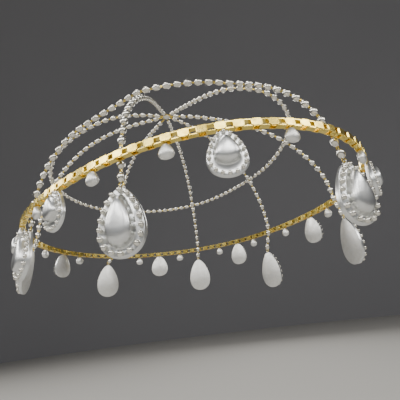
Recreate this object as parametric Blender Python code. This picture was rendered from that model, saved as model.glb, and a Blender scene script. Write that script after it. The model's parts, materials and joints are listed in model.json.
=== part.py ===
"""Head chain: a box-chain circlet, a cage of beaded strands over the crown, and three sizes of pear drops.

Metres, +Z up. The wearer looks along -Y. The origin is the middle of the circlet, where it sits on the head.
An azimuth here is a share of the circlet's girth, in degrees, from the front towards +X.
"""

import math

import bmesh
import bpy
import numpy as np
from mathutils import Matrix, Vector

MM = 0.001

# Clearances
LAID_GAP = 0.3 * MM
STRAND_TO_CIRCLET = 0.55 * MM
CROSSING_GAP = 0.35 * MM

# Circlet: a box chain whose links take turns with plates in and out and plates above and below
HEAD_GIRTH = 576 * MM
PITCHES = 96
FIRST_UPRIGHT_GAP = 0.55
CHAIN_SIDE = 2.8 * MM
CHAIN_WAIST = 2.3 * MM
PLATE_SHARE = 0.68
LINK_SLANT = 0.15 * MM
# Waves of the worn oval: times round, share of the mean radius, azimuth of the crest as a true angle
OVAL_WAVES = ((2, 0.129, 53.3), (3, 0.0126, 39.8), (4, 0.0136, -22.5), (5, 0.003, 13.8))
RISE_WAVES = ((2, 0.0135, 51.8), (3, 0.0076, 39.8))
OVAL_STEPS = 2880

# Shading and curves
SHARP_ANGLE = 35
LINE_FINENESS = 40
MERGE_DISTANCE = 0.001 * MM

# Crown cage
DOME_HEIGHT = 74.4 * MM
CROWN_X = -2.1 * MM
CROWN_Y = -2.6 * MM
DOME_FALL = 1.127
DOME_FALL_SWING = 0.553
DOME_FALL_CREST = 45.8
DOME_RISE = 0.906
DOME_FOCUS_SHARE = 0.25
CROWN_JOINT_RADIUS = 3.2 * MM
CROWN_JOINT_THICKNESS = 2.7 * MM

# Beaded strands
BEAD_DIAMETER = 2.7 * MM
WIRE_LOOP_DIAMETER = 1.2 * MM
CROWN_TAPER_START = 6.4 * MM
CROWN_NARROW_START = 5.6 * MM
STRAND_POINT_STEP = 8 * MM
# Each row: azimuth in degrees, level from the circlet (0) to the crown (1), lift off the dome in crossing steps
STRAND_ROUTES = {
    "strand_front_centre": (
        (-4.3, 0, 0), (-3.8, 0.2, 0), (-2.7, 0.42, -0.55), (-3.6, 0.6, -0.4), (-6, 0.8, -0.2), (-8.2, 1, 0),
    ),
    "strand_right": ((96.6, 0, 0), (97, 0.25, 0), (94.9, 0.5, 0), (94.3, 0.75, 0), (94.1, 1, 0)),
    "strand_back_right": ((136.3, 0, 0), (136.2, 0.25, 0), (134.6, 0.5, 0), (133.5, 0.75, 0.2), (132.8, 1, 0)),
    "strand_back_centre": ((180.5, 0, 0), (180.4, 0.25, 0), (180.1, 0.5, 0), (179.9, 0.75, 0), (179.8, 1, 0)),
    "strand_back_left": ((226.9, 0, 0), (224.7, 0.25, 0), (225.7, 0.5, 0), (227, 0.75, 0), (228.1, 1, 0)),
    "strand_left": ((278.5, 0, 0), (276.3, 0.25, 0), (274.9, 0.5, 0), (274.1, 0.75, 0), (273.5, 1, 0)),
    "strand_front_arch": (
        (-53.5, 0, 0), (-38, 0.298, 0.3), (-26, 0.371, 0.05), (-14, 0.406, 0.1), (-4, 0.411, 0.5),
        (6, 0.409, 0.2), (16, 0.405, -0.05), (28, 0.404, -0.14), (40, 0.345, -0.24), (50, 0, 0),
    ),
    "strand_back_loop": (
        (52, 1, 0), (49, 0.84, 0), (45.9, 0.66, 0), (47.4, 0.503, 0.4), (56.5, 0.414, 0.8), (74.7, 0.375, 1),
        (100.3, 0.353, 1), (124.8, 0.332, 1), (149.7, 0.329, 1), (180, 0.31, 1), (210, 0.31, 1), (240, 0.315, 1),
        (262, 0.328, 1), (275.7, 0.334, 1), (291.5, 0.397, 1), (299.9, 0.534, 0.6), (306.3, 0.678, 0.3),
        (308.3, 0.845, 0), (304.1, 1, 0),
    ),
}
# Where each piece hangs, in pitches of the chain from the front: a large pendant, a small drop, a medium
# pendant, a small drop, and so on round
HANGING_PLACES = (
    -1.15, 2.1, 5.3, 9.2, 14.0, 16.1, 18.2, 21.8, 25.1, 27.8, 30.5, 34.3, 37.2, 39.6, 42.3, 45.1,
    48.3, 51.1, 54.1, 56.9, 61.5, 65.3, 67.7, 70.9, 75.3, 77.1, 78.7, 80.2, 81.8, 86.2, 89.5, 93.1,
)
LARGE_PLACES = range(0, len(HANGING_PLACES), 4)
MEDIUM_PLACES = range(2, len(HANGING_PLACES), 4)
SMALL_PLACES = range(1, len(HANGING_PLACES), 2)
# Fall of each large pendant's top below the circlet's plane
PENDANT_FALL = {
    0: 11.5 * MM, 4: 8.0 * MM, 8: 14.5 * MM, 12: 16.5 * MM, 16: 9.5 * MM, 20: 7.5 * MM, 24: 8.0 * MM, 28: 6.5 * MM,
}
# Degrees that a large pendant's face is turned from the circlet's outward normal, towards +X
PENDANT_TURN = {0: 15, 4: -21, 28: 8}
# Degrees that a large pendant hangs out of the vertical, its foot outwards
PENDANT_LEAN = {24: 8, 28: 5}

# Eyes that carry the large pendants
EYE_RADIUS = 0.85 * MM
EYE_WIRE_RADIUS = 0.22 * MM
EYE_SUNK = 0.35 * MM
EYE_COLUMNS = 10
EYE_WIRE_SIDES = 5

# Pears: outline waist, and the sections of one as shares of its rim, from back to front
PEAR_WAIST = 0.3
PEAR_CENTRE = 0.57
GRANULES = 18
RIM_INSET_SHARE = 0.12
RIM_EDGE_SHARE = 0.35
GRANULE_DIP_SHARE = 0.1
DOME_FLANK_SHARE = 0.6
DOME_SHOULDER_SHARE = 0.9
DOME_FLANK_STEPS = 4


class Pear:
    """Sizes of one kind of granulated pear pendant."""

    def __init__(self, width, height, plate, granule, dome_top):
        self.width = width
        self.height = height
        self.plate = plate
        self.granule = granule
        self.dome_top = dome_top


LARGE = Pear(16.8 * MM, 24.5 * MM, 2.4 * MM, 1.1 * MM, 6.9 * MM)
MEDIUM = Pear(13.5 * MM, 16.7 * MM, 2.0 * MM, 0.85 * MM, 5.4 * MM)
EYE_DEPTH = 1.75 * MM

# Small drops
DROP_WIDTH = 5.2 * MM
DROP_HEIGHT = 6.0 * MM
DROP_THICKNESS = 3.2 * MM
DROP_COLUMNS = 10
DROP_EDGE_SHARE = 0.45
DROP_FACE_SHARE = 0.88
DROP_FACE_INSET = 0.25


def clear_scene():
    """Leaves the scene with no objects."""
    for obj in list(bpy.data.objects):
        bpy.data.objects.remove(obj)


def metal(name, colour, roughness):
    """A polished metal of one colour."""
    material = bpy.data.materials.new(name)
    material.use_nodes = True
    shader = material.node_tree.nodes["Principled BSDF"]
    shader.inputs["Base Color"].default_value = (*colour, 1)
    shader.inputs["Metallic"].default_value = 1
    shader.inputs["Roughness"].default_value = roughness
    return material


def waves(angle, rows):
    """The sum of the waves in rows at a true angle in radians."""
    return sum(share * np.cos(order * (angle - math.radians(crest))) for order, share, crest in rows)


def unit_oval(angle):
    """The circlet's middle line at true angles, for a mean radius of 1."""
    radius = 1 + waves(angle, OVAL_WAVES)
    rise = waves(angle, RISE_WAVES)
    return np.stack([radius * np.sin(angle), -radius * np.cos(angle), rise], axis=-1)


OVAL_ANGLES = np.linspace(0, 2 * math.pi, OVAL_STEPS + 1)
OVAL_REACH = np.concatenate([[0], np.cumsum(np.linalg.norm(np.diff(unit_oval(OVAL_ANGLES), axis=0), axis=1))])
MEAN_RADIUS = HEAD_GIRTH / OVAL_REACH[-1]


def true_angle(azimuth):
    """The true angle in radians of an azimuth along the girth."""
    share = (azimuth / 360) % 1
    return float(np.interp(share * OVAL_REACH[-1], OVAL_REACH, OVAL_ANGLES))


def circlet_frame(azimuth):
    """The circlet's middle point, its tangent and its level outward normal."""
    angle = true_angle(azimuth)
    step = math.pi / OVAL_STEPS
    point = unit_oval(angle) * MEAN_RADIUS
    tangent = Vector(unit_oval(angle + step) - unit_oval(angle - step)).normalized()
    outward = tangent.cross(Vector((0, 0, 1))).normalized()
    return Vector(point), tangent, outward


def strand_base(azimuth):
    """Where a strand passes the circlet, just inside it."""
    point, _, outward = circlet_frame(azimuth)
    inset = (CHAIN_SIDE + BEAD_DIAMETER) / 2 + STRAND_TO_CIRCLET
    return point - outward * inset


def crown_point():
    """The top of the cage."""
    return Vector((CROWN_X, CROWN_Y, DOME_HEIGHT))


def dome_point(azimuth, level, lift):
    """A point on the cage's dome, lifted off it away from the head."""
    base = strand_base(azimuth)
    fall = DOME_FALL + DOME_FALL_SWING * math.cos(true_angle(azimuth) - math.radians(DOME_FALL_CREST))
    turn = min(max(level, 0), 1) * math.pi / 2
    reach = max(math.cos(turn), 0) ** fall
    axis_point = Vector((CROWN_X, CROWN_Y, 0))
    point = axis_point + (base - axis_point) * reach
    point.z += DOME_HEIGHT * math.sin(turn) ** DOME_RISE
    focus = Vector((CROWN_X, CROWN_Y, DOME_HEIGHT * DOME_FOCUS_SHARE))
    crossing_step = BEAD_DIAMETER + CROSSING_GAP
    return point + (point - focus).normalized() * lift * crossing_step


def smooth_row(rows, place):
    """The row at a place between rows, on a smooth curve through them."""
    last = len(rows) - 1
    index = min(int(place), last - 1)
    share = place - index
    near = [np.array(rows[min(max(index + k, 0), last)], float) for k in (-1, 0, 1, 2)]
    slope_in = (near[2] - near[0]) / 2 if index > 0 else near[2] - near[1]
    slope_out = (near[3] - near[1]) / 2 if index < last - 1 else near[2] - near[1]
    square, cube = share**2, share**3
    return (
        (2 * cube - 3 * square + 1) * near[1]
        + (cube - 2 * square + share) * slope_in
        + (3 * square - 2 * cube) * near[2]
        + (cube - square) * slope_out
    )


def spread_evenly(points, step):
    """The same line with points at an even step."""
    points = np.array([list(p) for p in points])
    reach = np.concatenate([[0], np.cumsum(np.linalg.norm(np.diff(points, axis=0), axis=1))])
    count = max(2, round(reach[-1] / step) + 1)
    at = np.linspace(0, reach[-1], count)
    return [Vector(row) for row in np.stack([np.interp(at, reach, points[:, k]) for k in range(3)], axis=1)]


def tail_end(station):
    """The lower end of the strand that carries the large pendant of a station."""
    base = strand_base(station_azimuth(station))
    return Vector((base.x, base.y, hinge_point(station).z + 2 * EYE_RADIUS - EYE_SUNK))


def hinge_point(station):
    """The middle of the strand eye's lower wire, where the large pendant of a station hangs."""
    base = strand_base(station_azimuth(station))
    play = EYE_RADIUS - 2 * EYE_WIRE_RADIUS - LAID_GAP
    return Vector((base.x, base.y, -PENDANT_FALL[station] + EYE_RADIUS - EYE_SUNK + play))


def station_azimuth(station):
    """The azimuth of a hanging piece's place on the circlet."""
    return 360 * HANGING_PLACES[station] / PITCHES


def strand_line(rows, first_tail, last_tail):
    """A strand's middle line as points with the tube's radius in beads there.

    It has a tail below the circlet at each end that carries a pendant, and narrows to its last wire loop at an
    end that meets the crown.
    """
    fine = LINE_FINENESS * (len(rows) - 1)
    line = [dome_point(*smooth_row(rows, k / LINE_FINENESS)) for k in range(fine + 1)]
    crown = crown_point()
    body = [p for p in line if (p - crown).length >= CROWN_TAPER_START]
    if first_tail is not None:
        body = [tail_end(first_tail)] + body
    if last_tail is not None:
        body = body + [tail_end(last_tail)]
    points = [(p, 1) for p in spread_evenly(body, STRAND_POINT_STEP)]
    narrow = WIRE_LOOP_DIAMETER / BEAD_DIAMETER
    joint_reach = CROWN_JOINT_RADIUS + LAID_GAP
    if first_tail is None:
        ends = [point_at_reach(line[: fine // 2], crown, reach) for reach in (joint_reach, CROWN_NARROW_START)]
        points = [(p, narrow) for p in ends] + points
    if last_tail is None:
        ends = [point_at_reach(line[fine // 2 :], crown, reach) for reach in (CROWN_NARROW_START, joint_reach)]
        points = points + [(p, narrow) for p in ends]
    return points


def point_at_reach(line, centre, reach):
    """The point of a line at a distance from a centre."""
    for first, second in zip(line, line[1:]):
        near = (first - centre).length - reach
        far = (second - centre).length - reach
        if near * far <= 0 and near != far:
            return first.lerp(second, near / (near - far))
    return min(line, key=lambda p: abs((p - centre).length - reach))


def evaluated_mesh(obj, name):
    """The object's mesh with its modifiers or its bevel applied."""
    graph = bpy.context.evaluated_depsgraph_get()
    mesh = bpy.data.meshes.new_from_object(obj.evaluated_get(graph))
    mesh.name = name
    return mesh


def add_object(name, mesh, material):
    """A named object with its mesh, shaded smooth between its sharp edges."""
    if material is not None:
        mesh.materials.clear()
        mesh.materials.append(material)
        mesh.shade_smooth()
        mesh.set_sharp_from_angle(angle=math.radians(SHARP_ANGLE))
    obj = bpy.data.objects.new(name, mesh)
    bpy.context.scene.collection.objects.link(obj)
    return obj


def tube_mesh(name, points):
    """A strand's solid: a round tube along points that hold its radius in beads."""
    curve = bpy.data.curves.new(name, "CURVE")
    curve.dimensions = "3D"
    curve.bevel_depth = BEAD_DIAMETER / 2
    curve.bevel_resolution = 2
    curve.use_fill_caps = True
    spline = curve.splines.new("POLY")
    spline.points.add(len(points) - 1)
    for place, (point, share) in zip(spline.points, points):
        place.co = (*point, 1)
        place.radius = share
    helper = bpy.data.objects.new(name, curve)
    bpy.context.scene.collection.objects.link(helper)
    mesh = evaluated_mesh(helper, name)
    bpy.data.objects.remove(helper)
    merge_doubles(mesh)
    return mesh


def merge_doubles(mesh):
    """Joins the points where caps meet sides, and turns every face outwards."""
    form = bmesh.new()
    form.from_mesh(mesh)
    bmesh.ops.remove_doubles(form, verts=form.verts, dist=MERGE_DISTANCE)
    bmesh.ops.recalc_face_normals(form, faces=form.faces)
    form.to_mesh(mesh)
    form.free()


def loft_mesh(name, rings, closed=False, first_pole=None, last_pole=None):
    """A solid bridged through rings of as many points each.

    closed joins the last ring to the first; a pole closes an end with a fan of triangles.
    """
    form = bmesh.new()
    loops = [[form.verts.new(point) for point in ring] for ring in rings]
    pairs = list(zip(loops, loops[1:]))
    if closed:
        pairs.append((loops[-1], loops[0]))
    count = len(loops[0])
    for first, second in pairs:
        for k in range(count):
            after = (k + 1) % count
            form.faces.new((first[k], first[after], second[after], second[k]))
    for pole, loop in ((first_pole, loops[0]), (last_pole, loops[-1])):
        if pole is not None:
            tip = form.verts.new(pole)
            for k in range(count):
                form.faces.new((loop[k], loop[(k + 1) % count], tip))
    bmesh.ops.recalc_face_normals(form, faces=form.faces)
    mesh = bpy.data.meshes.new(name)
    form.to_mesh(mesh)
    form.free()
    return mesh


def eye_mesh(name, centre, across, up):
    """A wire eye about a centre, in the plane of two directions."""
    side = across.cross(up)
    rings = []
    for k in range(EYE_COLUMNS):
        turn = 2 * math.pi * k / EYE_COLUMNS
        out = across * math.sin(turn) + up * math.cos(turn)
        ring = []
        for j in range(EYE_WIRE_SIDES):
            round_wire = 2 * math.pi * j / EYE_WIRE_SIDES
            reach = EYE_RADIUS + EYE_WIRE_RADIUS * math.cos(round_wire)
            ring.append(centre + out * reach + side * (EYE_WIRE_RADIUS * math.sin(round_wire)))
        rings.append(ring)
    return loft_mesh(name, rings, closed=True)


def united_mesh(name, meshes):
    """One solid made of meshes that run into each other."""
    first, *others = [add_object(f"{name}_piece_{k}", mesh, None) for k, mesh in enumerate(meshes)]
    for other in others:
        union = first.modifiers.new(other.name, "BOOLEAN")
        union.operation = "UNION"
        union.solver = "EXACT"
        union.object = other
    mesh = evaluated_mesh(first, name)
    for obj in (first, *others):
        bpy.data.objects.remove(obj)
    return mesh


def make_circlet(material):
    """The box chain: links with plates in and out, linked by links with plates above and below."""
    pitch = 360 / PITCHES
    half_gap = pitch * (1 - PLATE_SHARE) / 2 - LINK_SLANT / HEAD_GIRTH * 360
    rings = []
    for k in range(PITCHES):
        upright_gap = (k + FIRST_UPRIGHT_GAP) * pitch
        for azimuth in (upright_gap - half_gap, upright_gap + half_gap):
            rings.append(box_section(azimuth, CHAIN_WAIST, CHAIN_SIDE))
        level_gap = upright_gap + pitch / 2
        for azimuth in (level_gap - half_gap, level_gap + half_gap):
            rings.append(box_section(azimuth, CHAIN_SIDE, CHAIN_WAIST))
    return add_object("circlet", loft_mesh("circlet", rings, closed=True), material)


def box_section(azimuth, depth, height):
    """The four corners of the chain's section at an azimuth."""
    point, _, outward = circlet_frame(azimuth)
    up = Vector((0, 0, 1))
    corners = ((1, 1), (1, -1), (-1, -1), (-1, 1))
    return [point + outward * (a * depth / 2) + up * (b * height / 2) for a, b in corners]


def make_strand(name, first_tail, last_tail, material):
    """A beaded strand with an eye at each end that carries a pendant."""
    points = strand_line(STRAND_ROUTES[name], first_tail, last_tail)
    pieces = [tube_mesh(name, points)]
    for station in (first_tail, last_tail):
        if station is not None:
            turn = face_turn(station_azimuth(station)) + pendant_turn(station)
            along = Vector((math.cos(turn), math.sin(turn), 0))
            centre = hinge_point(station) + Vector((0, 0, EYE_RADIUS))
            pieces.append(eye_mesh(f"{name}_eye", centre, along, Vector((0, 0, 1))))
    mesh = united_mesh(name, pieces) if len(pieces) > 1 else pieces[0]
    return add_object(name, mesh, material)


def make_crown_joint(material):
    """The flattened bead in which the strands meet."""
    form = bmesh.new()
    bmesh.ops.create_uvsphere(form, u_segments=10, v_segments=5, radius=CROWN_JOINT_RADIUS)
    bmesh.ops.scale(form, vec=(1, 1, CROWN_JOINT_THICKNESS / (2 * CROWN_JOINT_RADIUS)), verts=form.verts)
    mesh = bpy.data.meshes.new("crown_joint")
    form.to_mesh(mesh)
    form.free()
    obj = add_object("crown_joint", mesh, material)
    obj.location = crown_point()
    return obj


def pear_point(turn, width, height, inset, depth):
    """A point of a pear outline set in from its rim, with its top at the origin and its face towards -Y."""
    widest = max(math.sin(t) * (1 - PEAR_WAIST * math.cos(t)) for t in np.linspace(0, math.pi, 181))
    x = (width / 2 - inset) * math.sin(turn) * (1 - PEAR_WAIST * math.cos(turn)) / widest
    z = -inset - (height / 2 - inset) * (1 - math.cos(turn))
    return Vector((x, -depth, z))


def pear_ring(columns, width, height, inset, depth, low_depth=None):
    """A closed ring of a pear; low_depth sinks every other point, between granules."""
    ring = []
    for k in range(columns):
        here = depth if low_depth is None or k % 2 == 0 else low_depth
        ring.append(pear_point(2 * math.pi * k / columns, width, height, inset, here))
    return ring


def pendant_mesh(name, pear):
    """A granulated pear: a plate with a gently rounded back, a row of granules and a raised pear dome."""
    w, h, plate, grain = pear.width, pear.height, pear.plate, pear.granule
    columns = 2 * GRANULES
    rim_inset = plate * RIM_INSET_SHARE
    crest_inset = rim_inset + grain
    dome_inset = crest_inset + grain
    flank = (w / 2 - dome_inset) / DOME_FLANK_STEPS
    rise = pear.dome_top - plate
    rings = [
        pear_ring(columns, w, h, 0, plate * RIM_EDGE_SHARE),
        pear_ring(columns, w, h, rim_inset, plate),
        pear_ring(columns, w, h, crest_inset, plate + grain, plate + grain * GRANULE_DIP_SHARE),
        pear_ring(columns, w, h, dome_inset, plate),
        pear_ring(columns, w, h, dome_inset + flank, plate + rise * DOME_FLANK_SHARE),
        pear_ring(columns, w, h, dome_inset + 2 * flank, plate + rise * DOME_SHOULDER_SHARE),
    ]
    centre_z = -h * PEAR_CENTRE
    back, front = Vector((0, 0, centre_z)), Vector((0, -pear.dome_top, centre_z))
    return loft_mesh(name, rings, first_pole=back, last_pole=front)


def drop_mesh(name):
    """A small smooth drop, a pebble with a soft face."""
    depth = DROP_THICKNESS
    rings = [
        pear_ring(DROP_COLUMNS, DROP_WIDTH, DROP_HEIGHT, 0, depth * DROP_EDGE_SHARE),
        pear_ring(DROP_COLUMNS, DROP_WIDTH, DROP_HEIGHT, depth * DROP_FACE_INSET, depth * DROP_FACE_SHARE),
    ]
    centre_z = -DROP_HEIGHT * PEAR_CENTRE
    return loft_mesh(name, rings, first_pole=Vector((0, 0, centre_z)), last_pole=Vector((0, -depth, centre_z)))


def face_turn(azimuth):
    """The turn about the vertical, in radians, of a face along the circlet's outward normal."""
    _, _, outward = circlet_frame(azimuth)
    return math.atan2(outward.x, -outward.y)


def pendant_turn(station):
    """The further turn of a large pendant's face, in radians."""
    return math.radians(PENDANT_TURN.get(station, 0))


def placed(place, turn):
    """The placing of a piece at a point with its face turned about the vertical."""
    return Matrix.Translation(place) @ Matrix.Rotation(turn, 4, "Z")


def make_large_pendants(material):
    """The eight large pendants, each with its origin on the eye it swings on."""
    plain = pendant_mesh("large_pear", LARGE)
    eye_centre = Vector((0, -EYE_DEPTH, EYE_RADIUS - EYE_SUNK))
    eye = eye_mesh("large_pear_eye", eye_centre, Vector((0, -1, 0)), Vector((0, 0, 1)))
    mesh = united_mesh("large_pendant", [plain, eye])
    play = EYE_RADIUS - 2 * EYE_WIRE_RADIUS - LAID_GAP
    mesh.transform(Matrix.Translation(-eye_centre - Vector((0, 0, play))))
    for number, station in enumerate(LARGE_PLACES, start=1):
        obj = add_object(f"large_pendant_{number}", mesh, material)
        turn = face_turn(station_azimuth(station)) + pendant_turn(station)
        lean = Matrix.Rotation(-math.radians(PENDANT_LEAN.get(station, 0)), 4, "X")
        obj.matrix_world = placed(hinge_point(station), turn) @ lean


def hang_under_circlet(name, mesh, depth, stations, material):
    """Copies of a piece right under the circlet, middle of the thickness under the chain."""
    mesh.transform(Matrix.Translation((0, depth / 2, 0)))
    for number, station in enumerate(stations, start=1):
        azimuth = station_azimuth(station)
        point, _, _ = circlet_frame(azimuth)
        top = point - Vector((0, 0, CHAIN_SIDE / 2 + LAID_GAP))
        obj = add_object(f"{name}_{number}", mesh, material)
        obj.matrix_world = placed(top, face_turn(azimuth))


def main():
    clear_scene()
    gold = metal("gold", (0.83, 0.61, 0.19), 0.22)
    silver = metal("silver", (0.86, 0.86, 0.87), 0.25)
    make_circlet(gold)
    make_strand("strand_front_centre", 0, None, silver)
    make_strand("strand_front_arch", 28, 4, silver)
    make_strand("strand_right", 8, None, silver)
    make_strand("strand_back_right", 12, None, silver)
    make_strand("strand_back_centre", 16, None, silver)
    make_strand("strand_back_left", 20, None, silver)
    make_strand("strand_left", 24, None, silver)
    make_strand("strand_back_loop", None, None, silver)
    make_crown_joint(silver)
    make_large_pendants(silver)
    hang_under_circlet("medium_pendant", pendant_mesh("medium_pear", MEDIUM), MEDIUM.plate, MEDIUM_PLACES, silver)
    hang_under_circlet("small_drop", drop_mesh("small_drop"), DROP_THICKNESS, SMALL_PLACES, silver)


main()
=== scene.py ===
"""The look of the head chain: open box links, beads on gold wire, granulated pears and pebble drops."""

import json
import logging
import math
from dataclasses import dataclass
from enum import Enum
from functools import cached_property, partial
from typing import Optional, Sequence

import bmesh
import bpy
import numpy as np
from mathutils import Matrix, Vector


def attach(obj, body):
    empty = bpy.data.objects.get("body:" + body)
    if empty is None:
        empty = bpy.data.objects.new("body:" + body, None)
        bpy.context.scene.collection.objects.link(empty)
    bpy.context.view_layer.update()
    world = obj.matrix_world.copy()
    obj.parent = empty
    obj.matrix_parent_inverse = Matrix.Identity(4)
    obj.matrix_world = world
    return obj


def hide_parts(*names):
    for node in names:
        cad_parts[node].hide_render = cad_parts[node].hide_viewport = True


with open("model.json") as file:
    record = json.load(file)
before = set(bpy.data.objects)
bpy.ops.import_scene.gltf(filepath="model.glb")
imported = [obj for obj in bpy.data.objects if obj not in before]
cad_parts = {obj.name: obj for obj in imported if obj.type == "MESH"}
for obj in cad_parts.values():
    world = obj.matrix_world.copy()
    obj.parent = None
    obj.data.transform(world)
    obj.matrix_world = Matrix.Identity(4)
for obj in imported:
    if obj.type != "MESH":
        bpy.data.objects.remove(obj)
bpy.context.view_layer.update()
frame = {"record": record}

MM = 0.001
RIGHT = Vector((1, 0, 0))
BACK = Vector((0, 1, 0))
UP = Vector((0, 0, 1))
ROOT_BODY = "head_chain"
SMOOTH_UNDER_DEGREES = 38
LOG = logging.getLogger("head_chain")

# The sRGB curve: straight below a value, a power above it
SRGB_STRAIGHT_BELOW = 0.04045
SRGB_SLOPE = 12.92
SRGB_OFFSET = 0.055
SRGB_POWER = 2.4

WIRE_SIDES = 5
PENDANTS_OF_A_KIND = 8
DROPS = 16
# Hanging places from one large pendant to the next: a medium pendant halfway, a drop at each odd place
PLACES_BETWEEN_LARGE = 4
# Degrees that a large pendant hangs out of the vertical, its foot outwards, by its number
PENDANT_LEAN = {7: 8, 8: 5}

# Eyes that carry the large pendants
EYE_RADIUS = 0.85 * MM
EYE_WIRE = 0.22 * MM
EYE_SUNK = 0.35 * MM
EYE_DEPTH = 1.75 * MM

Rows = Sequence[tuple[float, float, float]]


# ---- Meshes and node trees


def linear_colour(code: str) -> tuple[float, float, float, float]:
    """A linear colour from an sRGB hex code.

    Args:
        code: The colour as six hex digits after a hash.

    Returns:
        Red, green, blue and alpha for a shader socket.
    """
    parts = [int(code[k : k + 2], 16) / 255 for k in (1, 3, 5)]
    red, green, blue = [
        p / SRGB_SLOPE if p <= SRGB_STRAIGHT_BELOW else ((p + SRGB_OFFSET) / (1 + SRGB_OFFSET)) ** SRGB_POWER
        for p in parts
    ]
    return red, green, blue, 1.0


def circle(count: int) -> list[tuple[float, float]]:
    """The cosine and the sine of even steps round a circle."""
    turns = [2 * math.pi * k / count for k in range(count)]
    return [(math.cos(turn), math.sin(turn)) for turn in turns]


def mesh_of(name: str, form: bmesh.types.BMesh) -> bpy.types.Mesh:
    """A new mesh of a form, which is used up."""
    mesh = bpy.data.meshes.new(name)
    form.to_mesh(mesh)
    form.free()
    return mesh


def in_scene(name: str, data: bpy.types.ID) -> bpy.types.Object:
    """A new object of the scene that holds some data."""
    thing = bpy.data.objects.new(name, data)
    bpy.context.scene.collection.objects.link(thing)
    return thing


def add_node(
    tree: bpy.types.NodeTree,
    kind: str,
    values: Optional[dict] = None,
    links: Optional[dict] = None,
    **settings: object,
) -> bpy.types.Node:
    """Adds a node with its settings, socket values and links.

    Args:
        tree: The tree that gets the node.
        kind: The node's type name.
        values: Socket name or index to its value.
        links: Socket name or index to the output socket that feeds it.
        settings: The node's own settings.

    Returns:
        The new node.
    """
    node = tree.nodes.new(kind)
    for name, value in settings.items():
        setattr(node, name, value)
    for socket, value in (values or {}).items():
        node.inputs[socket].default_value = value
    for socket, source in (links or {}).items():
        tree.links.new(source, node.inputs[socket])
    return node


def add_piece(name: str, mesh: bpy.types.Mesh, body: str, nodes: Sequence[str]) -> None:
    """Puts a finished mesh in the scene as a piece that rides on a body.

    Args:
        name: The piece's name.
        mesh: Its mesh, with its place in it.
        body: The body that it rides on.
        nodes: The CAD nodes that it stands for.
    """
    piece = in_scene(name, mesh)
    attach(piece, body)
    if nodes:
        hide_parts(*nodes)
    LOG.info("%s: %d faces on %s", name, len(mesh.polygons), body)


def lofted(
    name: str,
    rings: Sequence[Sequence[Vector]],
    closed: bool = False,
    poles: tuple[Optional[Vector], Optional[Vector]] = (None, None),
    smooth_under: float = SMOOTH_UNDER_DEGREES,
) -> bpy.types.Mesh:
    """A solid through rings of as many points each, shaded smooth between its sharp edges.

    Args:
        name: The mesh's name.
        rings: The rings, in order.
        closed: Whether the last ring meets the first.
        poles: The points that close the first and the last ring with fans.
        smooth_under: The angle in degrees from which an edge is sharp.

    Returns:
        The new mesh, with its faces outwards.
    """
    form = bmesh.new()
    loops = [[form.verts.new(point) for point in ring] for ring in rings]
    count = len(loops[0])
    pairs = list(zip(loops, loops[1:])) + ([(loops[-1], loops[0])] if closed else [])
    for first, second in pairs:
        for k in range(count):
            after = (k + 1) % count
            form.faces.new((first[k], first[after], second[after], second[k]))
    for pole, loop in zip(poles, (loops[0], loops[-1])):
        if pole is not None:
            tip = form.verts.new(pole)
            for k in range(count):
                form.faces.new((loop[k], loop[(k + 1) % count], tip))
    bmesh.ops.recalc_face_normals(form, faces=form.faces)
    mesh = mesh_of(name, form)
    mesh.shade_smooth()
    mesh.set_sharp_from_angle(angle=math.radians(smooth_under))
    return mesh


def wire_ring(
    name: str,
    centre: Vector,
    across: Vector,
    up: Vector,
    radii: tuple[float, float],
    wire: float,
    columns: int = 16,
) -> bpy.types.Mesh:
    """A closed ring or oval loop of round wire.

    Args:
        name: The mesh's name.
        centre: Its middle.
        across: The direction of its first radius.
        up: The direction of its second radius.
        radii: The two radii of the wire's middle line.
        wire: The wire's own radius.
        columns: Steps round the ring.

    Returns:
        The ring's mesh.
    """
    side = across.cross(up)
    rings = []
    for rise, run in circle(columns):
        middle = centre + across * (radii[0] * run) + up * (radii[1] * rise)
        out = (across * (run * radii[1]) + up * (rise * radii[0])).normalized()
        rings.append([middle + out * (wire * a) + side * (wire * b) for a, b in circle(WIRE_SIDES)])
    return lofted(name, rings, closed=True)


def joined(name: str, meshes: Sequence[bpy.types.Mesh], material: bpy.types.Material) -> bpy.types.Mesh:
    """One mesh of several, in one material.

    Args:
        name: The new mesh's name.
        meshes: The meshes, which are used up.
        material: Their material.

    Returns:
        The joined mesh.
    """
    form = bmesh.new()
    for mesh in meshes:
        form.from_mesh(mesh)
        bpy.data.meshes.remove(mesh)
    mesh = mesh_of(name, form)
    mesh.materials.append(material)
    for polygon in mesh.polygons:
        polygon.material_index = 0
    return mesh


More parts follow.
